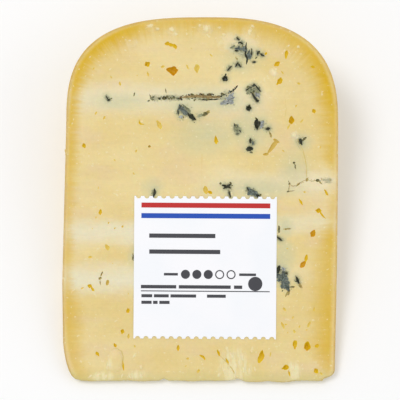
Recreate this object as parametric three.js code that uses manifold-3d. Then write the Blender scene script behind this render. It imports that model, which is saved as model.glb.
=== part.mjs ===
// A wedge of semi-hard blue cheese, cut from a round wheel, with a small paper price label.
// Millimetres, +Z up. It lies on one cut face, its rind end towards +Y and its tip towards -Y.
// A place on a cut face is given as [across, out]: across the wheel's thickness from its middle,
// and out from the tip towards the rim.
import * as THREE from 'three';
import { mergeVertices } from 'three/addons/utils/BufferGeometryUtils.js';
import Module from 'manifold-3d';

const wasm = await Module();
wasm.setup();

// The wheel, and the piece cut from it
const PIECES_PER_WHEEL = 28;
const WEDGE_ANGLE = (2 * Math.PI) / PIECES_PER_WHEEL;
const TIP_RADIUS = 11;
const FACE_LENGTH = 127.7;
const FACE_HALF_WIDTH = 48;
const FACETS_PER_PIECE = 6;
const KNIFE_REACH = 200;
const MERGE_WITHIN = 1e-4;

// The wheel's section: two swelling sides and a crown of two superellipse quarters
const SHOULDER_OUT = 89.8;
const CROWN_MIDDLE = 3;
const CROWN_HEIGHT = FACE_LENGTH - SHOULDER_OUT;
const CROWN_POWER = { left: 2.95, right: 2.7 };
const LEFT_SIDE = [[-48, 13.3], [-48.3, 34], [-47.6, 62], [-46.9, SHOULDER_OUT]];
const RIGHT_SIDE = [[48.6, SHOULDER_OUT], [48.2, 40], [47.5, 5.6]];
const LEFT_CORNER = { control: [-46.6, 0.3], end: [-42.5, 0.4] };
const RIGHT_CORNER = { control: [47, 1.2], end: [42.2, 0.4] };
const SIDE_STEPS = 8;
const CROWN_STEPS = 18;
const CORNER_STEPS = 5;

// The torn edge at the tip: a slow wave, two lumps, and nicks of [across, depth, half width]
const TIP_STEP = 1.3;
const TIP_WAVE = 0.3;
const TIP_LUMPS = { from: 15, to: 32.5, height: 0.5, pitch: 8.75 };
const TIP_NICKS = [[-12.6, 0.8, 1.1], [13.2, 1, 1.5]];

// The larger eyes on the upper cut face. Turns are in degrees, anticlockwise from straight across.
// taper widens one end, bend bows the hollow and waist narrows its middle, as shares of its size.
const EYES = [
  { at: [-10.1, 117.9], long: 3.7, wide: 1.5, turn: -17, waist: 0.5 },
  { at: [-9.7, 109.1], long: 4.6, wide: 3.5, turn: -5, taper: 0.3 },
  { at: [-18.5, 111.2], long: 2, wide: 1.8, turn: 45 },
  { at: [-1, 109.6], long: 3.2, wide: 1.8, turn: 90, taper: 0.4 },
  { at: [30.4, 114.7], long: 3.3, wide: 1.2, turn: 85 },
  { at: [27.1, 111.2], long: 2.1, wide: 1.6, turn: 40 },
  { at: [28, 105.1], long: 3, wide: 1.6, turn: 50, taper: 0.3 },
  { at: [32.2, 91.6], long: 2.5, wide: 1.9, turn: 90 },
  { at: [25, 81.9], long: 5.3, wide: 1.6, turn: 55, waist: 0.5 },
  { at: [-14.3, 90], long: 3.2, wide: 1.6, turn: -60, taper: 0.4 },
  { at: [5.7, 84.7], long: 3, wide: 1.4, turn: -80, taper: 0.6 },
  { at: [-20.4, 90.7], long: 2.8, wide: 0.9, turn: -50, bend: 0.5 },
  { at: [-32.5, 47], long: 2.3, wide: 1.4, turn: -60, taper: 0.4 },
  { at: [-37.8, 32.8], long: 2.8, wide: 1.1, turn: -48, waist: 0.3 },
  { at: [1, 8.4], long: 2.5, wide: 0.9, turn: -40, bend: -0.15 },
  { at: [6.6, 9.8], long: 2.5, wide: 0.9, turn: -70 },
  { at: [21.5, 8.6], long: 4.9, wide: 2.1, turn: 75, taper: -0.35, bend: 0.1 },
  { at: [30.1, 4.7], long: 2.8, wide: 2.1, turn: 20, taper: 0.3 },
  { at: [33.4, 12.8], long: 3.3, wide: 1.5, turn: 90 },
  { at: [37.7, 12.3], long: 3.3, wide: 2.2, turn: 85 },
  { at: [35.5, 62.8], long: 2.3, wide: 0.8, turn: -60 },
  { at: [44.3, 66.1], long: 2.5, wide: 0.9, turn: -60 },
  { at: [41.7, 59.8], long: 1.9, wide: 1.8, turn: 0 },
  { at: [39.8, 51.8], long: 2.6, wide: 1.9, turn: 60, taper: 0.2 },
  { at: [36.8, 41.8], long: 4.7, wide: 1.8, turn: 68, taper: -0.35, bend: 0.25 },
  { at: [38.5, 19.8], long: 2.5, wide: 0.9, turn: 65 },
];

// The larger crevices with mould in them on the upper cut face
const MOULD_PITS = [
  { at: [-4.5, 94], long: 6.3, wide: 2.4, turn: -38, taper: 0.3 },
  { at: [8.9, 106.1], long: 2.1, wide: 1.9, turn: 0 },
  { at: [14.5, 116.5], long: 3.5, wide: 1.6, turn: 5 },
  { at: [16.4, 114.2], long: 5, wide: 1.2, turn: 80 },
  { at: [20.1, 102.8], long: 3.5, wide: 0.8, turn: -38 },
  { at: [19.7, 99.6], long: 4.9, wide: 1.1, turn: -55, bend: 0.2 },
  { at: [17.3, 95.8], long: 2.3, wide: 1.8, turn: 90 },
  { at: [20.3, 89.6], long: 3.9, wide: 2.1, turn: 80, taper: 0.3 },
  { at: [24.5, 87.7], long: 3.2, wide: 1.3, turn: -65 },
  { at: [13.1, 88.4], long: 3.9, wide: 1.9, turn: 85 },
  { at: [17.6, 82.5], long: 4.6, wide: 1.8, turn: 85, taper: -0.4 },
  { at: [9.6, 68.1], long: 3.2, wide: 1.6, turn: 0 },
  { at: [18.3, 67.1], long: 3.6, wide: 1.6, turn: -35 },
  { at: [29.6, 36.4], long: 5, wide: 2.6, turn: -60 },
  { at: [34.5, 35.1], long: 3.9, wide: 1.1, turn: -65 },
];

// The slits where mould grew along a piercing needle's track: [across, out, width] along each
const NEEDLE_TRACKS = [
  [[-11, 99.1, 0.8], [-6.9, 99.3, 0.9], [-3.4, 99.8, 1.2], [0.1, 100.2, 1.8], [3.6, 99.7, 1.8],
    [6.4, 99.6, 1.6], [9.2, 100.6, 1.2], [12.9, 102.8, 0.6]],
  [[31, 69.5, 0.7], [34.1, 68.8, 0.8], [38, 70.6, 0.6], [41.1, 70.5, 0.8], [46.2, 69.9, 0.5]],
];

// Kinds of hollow that are scattered over a face, with their breadth as a share of their length
const SMALL_EYES = { count: 18, long: [1, 1.7], breadth: [0.55, 0.8] };
const LOWER_EYES = { count: 24, long: [1.5, 3.6], breadth: [0.4, 0.7] };
const LOWER_PITS = { count: 10, long: [2, 5], breadth: [0.3, 0.5] };
const POCKET_DEPTH = 0.75;
const POCKET_SCATTER = 0.34;
const POCKET_CLEARANCE = 3.2;
const ROUNDED_ABOVE = 1.9;
const TRACK_OVERLAP = 1.5;
const RIND_MARGIN = 6;
const SCATTER_SEED = 5;

// The price label: square, cut from its roll with a scalloped blade
const LABEL_SIDE = 50;
const LABEL_MIDDLE = [1.9, 39.8];
const LABEL_TURN = THREE.MathUtils.degToRad(-0.4);
const LABEL_THICKNESS = 0.2;
const LABEL_GAP = 0.3;
const SCALLOPS = 17;
const SCALLOP_RADIUS = 0.88;
const SCALLOP_STEPS = 3;

const PASTE = new THREE.MeshStandardMaterial({ color: 0xe6d29c, roughness: 0.55, metalness: 0 });
const PAPER = new THREE.MeshStandardMaterial({ color: 0xfbfbfd, roughness: 0.6, metalness: 0 });

// A repeatable stream of numbers from 0 to 1
function randomStream(seed) {
  let state = seed;
  return () => {
    state = (state + 0x6d2b79f5) | 0;
    let mixed = Math.imul(state ^ (state >>> 15), 1 | state);
    mixed = (mixed + Math.imul(mixed ^ (mixed >>> 7), 61 | mixed)) ^ mixed;
    return ((mixed ^ (mixed >>> 14)) >>> 0) / 4294967296;
  };
}

function toSolid(geometry) {
  geometry.deleteAttribute('normal');
  geometry.deleteAttribute('uv');
  const merged = mergeVertices(geometry, MERGE_WITHIN);
  return new wasm.Manifold(new wasm.Mesh({
    numProp: 3,
    vertProperties: merged.attributes.position.array,
    triVerts: merged.index.array,
  }));
}

function toGeometry(solid) {
  const { vertProperties, triVerts } = solid.getMesh();
  const geometry = new THREE.BufferGeometry();
  geometry.setAttribute('position', new THREE.BufferAttribute(vertProperties, 3));
  geometry.setIndex(new THREE.BufferAttribute(triVerts, 1));
  geometry.computeVertexNormals();
  return geometry;
}

const vectors = (places) => places.map(([across, out]) => new THREE.Vector2(across, out));

// How far the torn tip stands out at a place across it
function tipEdge(across) {
  const wave = TIP_WAVE * Math.sin(0.55 * across) * Math.sin(0.17 * across + 2.2);
  const { from, to, height, pitch } = TIP_LUMPS;
  const onLumps = across > from && across < to;
  const lumps = onLumps ? height * Math.abs(Math.sin((Math.PI * (across - from)) / pitch)) : 0;
  const nicks = TIP_NICKS.map(([middle, depth, half]) => (
    depth * Math.exp(-(((across - middle) / half) ** 2))));
  return wave - lumps + Math.max(...nicks);
}

// One quarter of the crown, from a side (turn 0) to the top (turn a quarter)
function crownPoint(sideAcross, power, turn) {
  const half = sideAcross - CROWN_MIDDLE;
  const across = CROWN_MIDDLE + half * Math.cos(turn) ** (2 / power);
  const out = SHOULDER_OUT + CROWN_HEIGHT * Math.sin(turn) ** (2 / power);
  return new THREE.Vector2(across, out);
}

// The section's outline, clockwise seen with the rim at the top, from the tip's left corner
function sectionOutline() {
  const leftSide = new THREE.SplineCurve(vectors(LEFT_SIDE)).getPoints(SIDE_STEPS);
  const rightSide = new THREE.SplineCurve(vectors(RIGHT_SIDE)).getPoints(SIDE_STEPS);
  const [leftControl, leftEnd] = vectors([LEFT_CORNER.control, LEFT_CORNER.end]);
  const [rightControl, rightEnd] = vectors([RIGHT_CORNER.control, RIGHT_CORNER.end]);
  const leftCorner = new THREE.QuadraticBezierCurve(leftEnd, leftControl, leftSide[0]);
  const rightCorner = new THREE.QuadraticBezierCurve(rightSide.at(-1), rightControl, rightEnd);
  const crown = [];
  for (let step = 1; step < CROWN_STEPS; step += 1) {
    crown.push(crownPoint(leftSide.at(-1).x, CROWN_POWER.left, (step / CROWN_STEPS) * Math.PI / 2));
  }
  for (let step = CROWN_STEPS; step > 0; step -= 1) {
    crown.push(crownPoint(rightSide[0].x, CROWN_POWER.right, (step / CROWN_STEPS) * Math.PI / 2));
  }
  const tip = [];
  for (let across = rightEnd.x - TIP_STEP; across > leftEnd.x + TIP_STEP / 2; across -= TIP_STEP) {
    tip.push(new THREE.Vector2(across, tipEdge(across)));
  }
  return [
    ...leftCorner.getPoints(CORNER_STEPS).slice(0, -1), ...leftSide, ...crown,
    ...rightSide, ...rightCorner.getPoints(CORNER_STEPS).slice(1), ...tip,
  ];
}

// The whole wheel, turned about the X axis, with facets that straddle the knife's cuts
function wheel(outline) {
  const profile = outline.map((point) => new THREE.Vector2(TIP_RADIUS + point.y, point.x));
  profile.push(profile[0].clone());
  const facets = FACETS_PER_PIECE * PIECES_PER_WHEEL;
  const halfFacet = Math.PI / facets;
  const turned = new THREE.LatheGeometry(profile, facets, halfFacet - Math.PI / 2);
  return toSolid(turned.rotateZ(-Math.PI / 2));
}

// The space between two knife cuts that meet on the wheel's axis
function knifeSpace() {
  const triangle = new THREE.Shape([
    new THREE.Vector2(0, 0),
    new THREE.Vector2(KNIFE_REACH, 0),
    new THREE.Vector2(KNIFE_REACH, KNIFE_REACH * Math.tan(WEDGE_ANGLE)),
  ]);
  const space = new THREE.ExtrudeGeometry(triangle, { depth: KNIFE_REACH, bevelEnabled: false });
  space.translate(0, 0, -KNIFE_REACH / 2);
  const toWheel = new THREE.Matrix4().makeBasis(
    new THREE.Vector3(0, 1, 0), new THREE.Vector3(0, 0, 1), new THREE.Vector3(1, 0, 0),
  );
  return toSolid(space.applyMatrix4(toWheel));
}

// A lumpy, angular hollow, half of it below the cut face at that angle round the wheel
function pocket(faceAngle, { at, long, wide, turn, taper = 0, bend = 0, waist = 0 }, random) {
  const ball = new THREE.IcosahedronGeometry(1, long > ROUNDED_ABOVE ? 1 : 0);
  ball.deleteAttribute('normal');
  ball.deleteAttribute('uv');
  const hollow = mergeVertices(ball, MERGE_WITHIN);
  const points = hollow.attributes.position;
  for (let i = 0; i < points.count; i += 1) {
    const along = points.getX(i);
    const swell = 1 + POCKET_SCATTER * (random() - 0.5);
    const breadth = (wide / 2) * (1 + taper * along) * (1 - waist * (1 - along * along));
    const bow = bend * long * (along * along - 0.5);
    const x = along * (long / 2) * swell;
    const y = points.getY(i) * breadth * swell + bow;
    points.setXYZ(i, x, y, points.getZ(i) * wide * POCKET_DEPTH * swell);
  }
  hollow.rotateZ(THREE.MathUtils.degToRad(turn));
  hollow.translate(at[0], TIP_RADIUS + at[1], 0);
  return toSolid(hollow.rotateX(faceAngle));
}

// Overlapping hollows along a needle's track
function trackHollows(places) {
  return places.slice(1).map(([across, out, width], i) => {
    const [lastAcross, lastOut, lastWidth] = places[i];
    return {
      at: [(across + lastAcross) / 2, (out + lastOut) / 2],
      long: TRACK_OVERLAP * Math.hypot(across - lastAcross, out - lastOut),
      wide: (width + lastWidth) / 2,
      turn: THREE.MathUtils.radToDeg(Math.atan2(out - lastOut, across - lastAcross)),
    };
  });
}

const between = ([low, high], share) => low + (high - low) * share;
const apart = (here, there) => Math.hypot(here[0] - there[0], here[1] - there[1]);

function underLabel([across, out]) {
  const reach = LABEL_SIDE / 2 + 1;
  return Math.abs(across - LABEL_MIDDLE[0]) < reach && Math.abs(out - LABEL_MIDDLE[1]) < reach;
}

function insideRind([across, out]) {
  const sideReach = (Math.abs(across) + RIND_MARGIN) / FACE_HALF_WIDTH;
  const crownReach = Math.max(0, out + RIND_MARGIN - SHOULDER_OUT) / CROWN_HEIGHT;
  return sideReach ** CROWN_POWER.right + crownReach ** CROWN_POWER.right < 1;
}

// Hollows at random places that keep clear of the rind, of each other and of those already there
function scatter({ count, long, breadth }, taken, random, isOpen = () => true) {
  const hollows = [];
  while (hollows.length < count) {
    const across = between([-FACE_HALF_WIDTH, FACE_HALF_WIDTH], random());
    const at = [across, between([RIND_MARGIN, FACE_LENGTH], random())];
    const crowded = [...taken, ...hollows].some((other) => (
      apart(other.at, at) < POCKET_CLEARANCE + other.long / 2));
    if (insideRind(at) && isOpen(at) && !crowded) {
      const length = between(long, random() ** 2);
      const wide = length * between(breadth, random());
      hollows.push({ at, long: length, wide, turn: 180 * random(), taper: 0.3 * random() });
    }
  }
  return hollows;
}

function cutHollows(piece) {
  const random = randomStream(SCATTER_SEED);
  const upper = [...EYES, ...MOULD_PITS, ...NEEDLE_TRACKS.flatMap(trackHollows)];
  upper.push(...scatter(SMALL_EYES, upper, random, (at) => !underLabel(at)));
  const lower = scatter(LOWER_PITS, [], random);
  lower.push(...scatter(LOWER_EYES, lower, random));
  const cutters = [
    ...upper.map((hollow) => pocket(WEDGE_ANGLE, hollow, random)),
    ...lower.map((hollow) => pocket(0, hollow, random)),
  ];
  return cutters.reduce((rest, cutter) => rest.subtract(cutter), piece);
}

function makeCheese() {
  const piece = wheel(sectionOutline()).intersect(knifeSpace());
  const cheese = new THREE.Mesh(toGeometry(cutHollows(piece)), PASTE);
  cheese.name = 'cheese';
  return cheese;
}

function makeLabel() {
  const pitch = LABEL_SIDE / SCALLOPS;
  const paper = new THREE.Shape();
  paper.moveTo(0, 0);
  for (let i = 0; i < SCALLOPS; i += 1) {
    paper.absarc((i + 0.5) * pitch, 0, SCALLOP_RADIUS, Math.PI, 0, true);
  }
  paper.lineTo(LABEL_SIDE, 0);
  paper.lineTo(LABEL_SIDE, LABEL_SIDE);
  for (let i = SCALLOPS - 1; i >= 0; i -= 1) {
    paper.absarc((i + 0.5) * pitch, LABEL_SIDE, SCALLOP_RADIUS, 0, Math.PI, true);
  }
  paper.lineTo(0, LABEL_SIDE);
  const sheet = new THREE.ExtrudeGeometry(paper, {
    depth: LABEL_THICKNESS,
    bevelEnabled: false,
    curveSegments: SCALLOP_STEPS,
  });
  const label = new THREE.Mesh(sheet.translate(-LABEL_SIDE / 2, -LABEL_SIDE / 2, 0), PAPER);
  label.name = 'label';
  label.position.set(LABEL_MIDDLE[0], TIP_RADIUS + LABEL_MIDDLE[1], LABEL_GAP);
  label.rotation.z = LABEL_TURN;
  return label;
}

// The upper cut face, as a plane hinged on the wheel's axis
const upperFace = new THREE.Group();
upperFace.rotation.x = WEDGE_ANGLE;
upperFace.add(makeLabel());

const wedge = new THREE.Group();
wedge.add(makeCheese(), upperFace);

// The origin is under the middle of the piece, on the surface that it lies on
const extent = new THREE.Box3().setFromObject(wedge);
const middle = extent.getCenter(new THREE.Vector3());
wedge.position.set(-middle.x, -middle.y, -extent.min.z);

const root = new THREE.Group();
root.add(wedge);
export default root;
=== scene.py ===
import math
import random

import bmesh
import bpy
from mathutils import Matrix, Vector, noise
from mathutils.bvhtree import BVHTree
from mathutils.kdtree import KDTree


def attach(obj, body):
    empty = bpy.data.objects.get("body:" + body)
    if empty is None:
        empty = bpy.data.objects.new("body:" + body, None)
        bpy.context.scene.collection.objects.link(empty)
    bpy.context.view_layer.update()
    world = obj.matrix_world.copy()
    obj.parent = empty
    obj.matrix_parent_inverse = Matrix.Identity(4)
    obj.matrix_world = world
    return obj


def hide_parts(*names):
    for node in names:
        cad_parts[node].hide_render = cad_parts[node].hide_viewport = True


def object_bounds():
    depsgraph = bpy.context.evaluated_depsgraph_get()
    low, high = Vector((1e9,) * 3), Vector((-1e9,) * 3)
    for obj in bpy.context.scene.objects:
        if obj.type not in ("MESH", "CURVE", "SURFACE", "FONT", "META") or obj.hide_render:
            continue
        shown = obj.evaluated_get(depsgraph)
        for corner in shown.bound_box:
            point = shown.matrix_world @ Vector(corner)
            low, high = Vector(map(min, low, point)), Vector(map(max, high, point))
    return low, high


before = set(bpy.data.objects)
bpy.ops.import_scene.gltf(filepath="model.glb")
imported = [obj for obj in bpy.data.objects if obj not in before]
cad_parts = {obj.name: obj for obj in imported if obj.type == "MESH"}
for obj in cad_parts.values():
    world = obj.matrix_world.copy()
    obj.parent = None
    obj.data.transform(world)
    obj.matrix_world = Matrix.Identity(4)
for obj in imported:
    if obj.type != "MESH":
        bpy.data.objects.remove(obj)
cadBounds = [list(corner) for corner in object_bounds()]

# Pieces are shaped in millimetres on the cheese's own wheel, whose axis is the X axis: the lower
# cut face lies on Z = 0, and the upper one is turned up from it. put() moves them into the frame.
wheel = {
    "pieces": 28,  # wedges to a wheel
    "tipRadius": 11,  # the torn tip's distance from the axis
    "faceLength": 127.7,
    "rightReach": 48.6,  # the section's reach to the right of its middle
    "mm": 0.001,
}
upperFace = math.tau / wheel["pieces"]
lowerFace = 0
upperNormal = Vector((0, -math.sin(upperFace), math.cos(upperFace)))
axisPlace = Vector((
    cadBounds[1][0] / wheel["mm"] - wheel["rightReach"],
    cadBounds[1][1] / wheel["mm"] - wheel["tipRadius"] - wheel["faceLength"],
    0,
))

photo = {"width": 400, "mmPerPixel": 0.3509, "middleColumn": 199.75, "tipRow": 381}


def put(bm):
    bmesh.ops.translate(bm, verts=bm.verts, vec=axisPlace)
    bmesh.ops.scale(bm, verts=bm.verts, vec=(wheel["mm"],) * 3)


# Where (across, out) lies on a cut face, turned anticlockwise by that many degrees
def onFace(face, at, turn=0, lift=0):
    place = Matrix.Translation((at[0], wheel["tipRadius"] + at[1], lift))
    spun = Matrix.Rotation(math.radians(turn), 4, "Z")
    return Matrix.Rotation(face, 4, "X") @ place @ spun


def newPiece(name, bm, *materials):
    mesh = bpy.data.meshes.new(name)
    bm.to_mesh(mesh)
    bm.free()
    for material in materials:
        mesh.materials.append(material)
    piece = bpy.data.objects.new(name, mesh)
    bpy.context.collection.objects.link(piece)
    return piece


def linear(red, green, blue):
    def channel(level):
        share = level / 255
        return share / 12.92 if share <= 0.04045 else ((share + 0.055) / 1.055) ** 2.4
    return (channel(red), channel(green), channel(blue), 1)


# A socket that Python can reckon with
class Amount:
    def __init__(self, paint, socket):
        self.paint = paint
        self.socket = socket

    def __add__(self, other):
        return self.paint.math("ADD", self, other)

    def __sub__(self, other):
        return self.paint.math("SUBTRACT", self, other)

    def __rsub__(self, other):
        return self.paint.math("SUBTRACT", other, self)

    def __mul__(self, other):
        return self.paint.math("MULTIPLY", self, other)

    __radd__ = __add__
    __rmul__ = __mul__


# One material and the nodes that make it
class Paint:
    def __init__(self, name):
        self.material = bpy.data.materials.new(name)
        self.material.use_nodes = True
        self.tree = self.material.node_tree
        self.tree.nodes.clear()

    def node(self, kind, settings, values, out=0):
        made = self.tree.nodes.new(kind)
        for name, value in settings.items():
            setattr(made, name, value)
        for name, value in values.items():
            if isinstance(value, Amount):
                self.tree.links.new(value.socket, made.inputs[name])
            else:
                made.inputs[name].default_value = value
        return Amount(self, made.outputs[out])

    def math(self, operation, first, second):
        return self.node("ShaderNodeMath", {"operation": operation}, {0: first, 1: second})

    def vector(self, operation, first, second, out=0):
        return self.node("ShaderNodeVectorMath", {"operation": operation}, {0: first, 1: second}, out)

    def mix(self, share, first, second):
        return self.node("ShaderNodeMix", {"data_type": "RGBA"}, {0: share, 6: first, 7: second}, out=2)

    def scale(self, colour, factor):
        return self.node("ShaderNodeVectorMath", {"operation": "SCALE"}, {0: colour, "Scale": factor})

    def step(self, value, low, high, start=0, end=1):  # an S-shaped rise from start to end
        spread = {"Value": value, 1: low, 2: high, 3: start, 4: end}
        return self.node("ShaderNodeMapRange", {"interpolation_type": "SMOOTHSTEP"}, spread)

    def noise(self, place, size, detail=2, rough=0.5):
        grain = {"Vector": place, "Scale": 1 / size, "Detail": detail, "Roughness": rough}
        return self.node("ShaderNodeTexNoise", {}, grain)

    def attribute(self, name, out):
        return self.node("ShaderNodeAttribute", {"attribute_name": name}, {}, out)

    def bump(self, height, distance):
        return self.node("ShaderNodeBump", {}, {"Height": height, "Distance": distance})

    def wheelPlace(self):  # Object coordinates as millimetres on the wheel
        place = self.node("ShaderNodeTexCoord", {}, {}, out="Object")
        grow = (1 / wheel["mm"],) * 3
        return self.node("ShaderNodeMapping", {}, {"Vector": place, "Location": -axisPlace, "Scale": grow})

    def finish(self, values):
        surface = self.node("ShaderNodeBsdfPrincipled", {}, values)
        output = self.tree.nodes.new("ShaderNodeOutputMaterial")
        self.tree.links.new(surface.socket, output.inputs["Surface"])
        return self.material


# The wheel's section, with points as (across, out) from the tip's middle
section = {
    "shoulderOut": 89.8,  # where the sides end and the crown starts
    "crownMiddle": 3,
    "leftPower": 2.95,
    "rightPower": 2.7,
    "leftSide": [(-48, 13.3), (-48.3, 34), (-47.6, 62), (-46.9, 89.8)],
    "rightSide": [(48.6, 89.8), (48.5, 66), (48.2, 40), (47.4, 3.6)],
    "leftCorner": (-46.6, 0.3),
    "leftEnd": (-42.5, 0.4),
    "rightCorner": (47.1, 1.6),
    "rightEnd": (43.6, 0.8),
    "crownSteps": 26,
    "cornerSteps": 6,
    "tipStep": 0.65,
    "tipWave": 0.14,
    "tipGrain": 0.12,
    "tipNicks": [(-12.6, 0.8, 1.1), (13.2, 1, 1.5)],  # across, depth, half width
    "tipLumps": (15, 32.5, 0.5, 8.75),  # from, to, height, pitch
    "halfAcross": 48,  # with the next, a plainer outline that keeps scattered marks off the rind
    "roundness": 2.8,
}


def tipEdge(across):
    start, end, height, pitch = section["tipLumps"]
    wave = section["tipWave"] * math.sin(0.55 * across) * math.sin(0.17 * across + 2.2)
    ragged = section["tipGrain"] * noise.noise((across * 1.1, 3, 0))
    if start < across < end:
        wave -= height * abs(math.sin(math.pi * (across - start) / pitch))
    nicks = section["tipNicks"]
    nick = max(depth * math.exp(-((across - middle) / half) ** 2) for middle, depth, half in nicks)
    return wave + ragged + nick


def crownPoint(side, power, share):
    turn = share * math.pi / 2
    across = section["crownMiddle"] + (side - section["crownMiddle"]) * math.cos(turn) ** (2 / power)
    rise = wheel["faceLength"] - section["shoulderOut"]
    return across, section["shoulderOut"] + rise * math.sin(turn) ** (2 / power)


def corner(start, control, end):
    points = []
    for step in range(1, section["cornerSteps"]):
        share = step / section["cornerSteps"]
        first, second = Vector(start).lerp(control, share), Vector(control).lerp(end, share)
        points.append(first.lerp(second, share))
    return points


def sectionOutline():
    steps = section["crownSteps"]
    left, right = section["leftSide"], section["rightSide"]
    points = [section["leftEnd"], *corner(section["leftEnd"], section["leftCorner"], left[0]), *left]
    points += [crownPoint(left[-1][0], section["leftPower"], step / steps) for step in range(1, steps)]
    points += [crownPoint(right[0][0], section["rightPower"], step / steps) for step in range(steps, 0, -1)]
    points += [*right, *corner(right[-1], section["rightCorner"], section["rightEnd"]), section["rightEnd"]]
    across = section["rightEnd"][0] - section["tipStep"]
    while across > section["leftEnd"][0] + section["tipStep"] / 2:
        points.append((across, tipEdge(across)))
        across -= section["tipStep"]
    return points


# One mark on a cut face. taper widens the end that the turn points to, lean moves the widest part there,
# bend bows the mark, power gives the outline (1 a diamond, 2 an oval) and deep its depth for its width.
def spot(across, out, long, wide, turn=0, **shape):
    return {"at": (across, out), "long": long, "wide": wide, "turn": turn, **shape}


# Eyes on the upper cut face, and below them the crevices with mould in them, by their looks
eyes = {
    "gold": [
        spot(-11.3, 118.4, 1.9, 1.5, 10), spot(-10, 117.9, 3.4, 1.2, -18),
        spot(-8.7, 117.4, 2.1, 1.4, -65), spot(-18.4, 111.2, 2.3, 2.1, 35, power=1.15),
        spot(30.4, 114.7, 3.3, 1.2, 85), spot(27.1, 111.2, 2.3, 1.6, 40),
        spot(28, 105.1, 3.1, 1.8, 50, taper=0.3, power=1.6), spot(39.7, 110.2, 1.6, 0.9, -15),
        spot(40.1, 94.7, 1.8, 1.3, -60), spot(5.7, 84.7, 3.1, 1.4, -80, taper=0.6),
        spot(-40.6, 82.6, 1.9, 1.4, -70), spot(3.6, 66.2, 1.8, 1.3, -25, power=1.3),
        spot(23.2, 114.9, 1.2, 0.8, 60), spot(-38.6, 33.3, 1.8, 1.4, -20), spot(-37.6, 32.2, 2.2, 1, -55),
        spot(-34.9, 59.3, 2.2, 1.2, 82), spot(-25.2, 24.7, 1.7, 1.4, 60),
        spot(-20.7, 90.7, 2.6, 0.75, -45, bend=0.42), spot(-27.1, 17.4, 1.7, 1.4, 80),
        spot(-29.7, 12.5, 1.7, 1, -60), spot(-35.9, 9.5, 2, 1.1, -55), spot(-7.6, 11.6, 2.2, 1.1, 85),
        spot(1, 8.4, 2.6, 0.9, -40, bend=-0.15), spot(6.6, 9.8, 2.5, 0.9, -70),
        spot(9.6, 7, 2.1, 0.8, -60), spot(21.5, 8.6, 5, 2.3, 75, taper=-0.4, bend=0.1, power=1.4),
        spot(30.1, 4.7, 2.8, 2.1, 20, taper=0.3, power=1.2), spot(31.4, 2.7, 2.1, 0.7, -75),
        spot(33.4, 12.8, 3.3, 1.7, 90), spot(37.3, 43, 3, 1.2, 80), spot(41.1, 12.3, 1.7, 1.2, 30),
        spot(40.8, 3.6, 2.1, 1.5, -60), spot(35.5, 62.8, 2.5, 0.8, -60), spot(44.4, 66.1, 2.6, 0.8, -60),
        spot(41.7, 59.8, 2.1, 1.8, 0, power=1.4), spot(43, 58.4, 4.2, 0.7, -54, bend=0.1),
        spot(-26.9, 5.4, 3.6, 0.7, -82), spot(32.2, 91.6, 2.8, 2.1, 90, power=1.5, lean=-0.2, deep=0.62),
        spot(37.7, 12.4, 3.4, 2.3, 85, power=1.5, lean=-0.2, deep=0.62),
    ],
    "amber": [
        spot(-9.9, 109, 4.5, 3.6, -3, lean=0.3, bend=0.12, power=1.1),
        spot(39.8, 51.8, 2.9, 2.1, 62, taper=0.2, lean=-0.2, power=1.3),
        spot(36.2, 40.9, 3, 1.7, 50, power=1.6),
    ],
    "tan": [
        spot(25.4, 82, 5.4, 1.4, 53, power=2.2, taper=0.3), spot(26.9, 84.2, 2.5, 1.2, -30),
        spot(23.2, 79.6, 2.1, 1.1, 8), spot(-32.4, 34.5, 2.2, 1.2, 80, deep=0.5),
        spot(-17.7, 82.3, 1, 0.9, 0, deep=0.6),
    ],
    "straw": [
        spot(-1, 109.6, 3.3, 1.9, 90, taper=0.4), spot(31.2, 89.2, 2.2, 0.6, 62),
        spot(29.3, 80.7, 1, 0.5, -40), spot(-14.3, 90, 3.3, 1.6, -60, taper=0.5),
        spot(2.1, 67, 2.9, 1.8, -75), spot(-32.5, 47, 2.3, 1.4, -60, taper=0.4),
        spot(-38.5, 43.5, 1.6, 0.9, 5), spot(-41.2, 32.6, 1.3, 0.6, 25), spot(-36.4, 57.4, 0.9, 0.5, 80),
        spot(-32, 55.5, 0.9, 0.5, 70), spot(-27.1, 54.2, 1, 0.7, 60), spot(-29.8, 53.6, 0.8, 0.5, 30),
        spot(38.3, 19.8, 2.5, 0.8, 65), spot(33.2, 17.4, 1.5, 0.9, -70), spot(-45.3, 90, 1.2, 0.6, 70),
        spot(-36.4, 94, 1.5, 0.7, 60), spot(-28, 104.3, 1.6, 0.8, -75), spot(-18.2, 107.7, 1.8, 0.7, -75),
        spot(-13, 110.3, 1.4, 0.9, 30), spot(-4.3, 110.2, 1.9, 0.7, -65), spot(4, 114.3, 1.6, 0.7, -50),
        spot(-33.5, 92.4, 1.5, 0.8, 60), spot(34.7, 104.4, 1.4, 0.8, -20), spot(33.8, 96.5, 1.1, 0.6, 60),
        spot(35.8, 91.2, 1.5, 0.6, 50), spot(29, 108.2, 1.3, 0.5, -50), spot(-12.8, 16.5, 1.5, 0.6, 75),
        spot(-25, 15.7, 1.8, 0.8, 85), spot(29.7, 25.2, 1.7, 0.8, -45), spot(29.2, 19.5, 2.6, 0.9, -65),
        spot(32.7, 22.3, 1.3, 0.6, 80), spot(40.1, 25.2, 1.5, 0.7, 85), spot(35, 19.1, 1, 0.7, 70),
        spot(30.2, 19.8, 1.1, 0.6, 20), spot(37.5, 17.9, 0.8, 0.5, 30), spot(-22.8, 12.2, 1, 0.6, -70),
        spot(42.3, 82, 1.3, 0.5, 85), spot(42.6, 2.6, 1.3, 0.7, -40), spot(-35.6, 67.8, 1.3, 0.5, 85),
        spot(24.8, 9.3, 1.8, 0.5, 80), spot(-0.5, 3.5, 1.6, 1, 60), spot(-22.3, 80.7, 1, 0.6, 60),
        spot(36.8, 66.3, 0.9, 0.6, 0),
    ],
}

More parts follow.
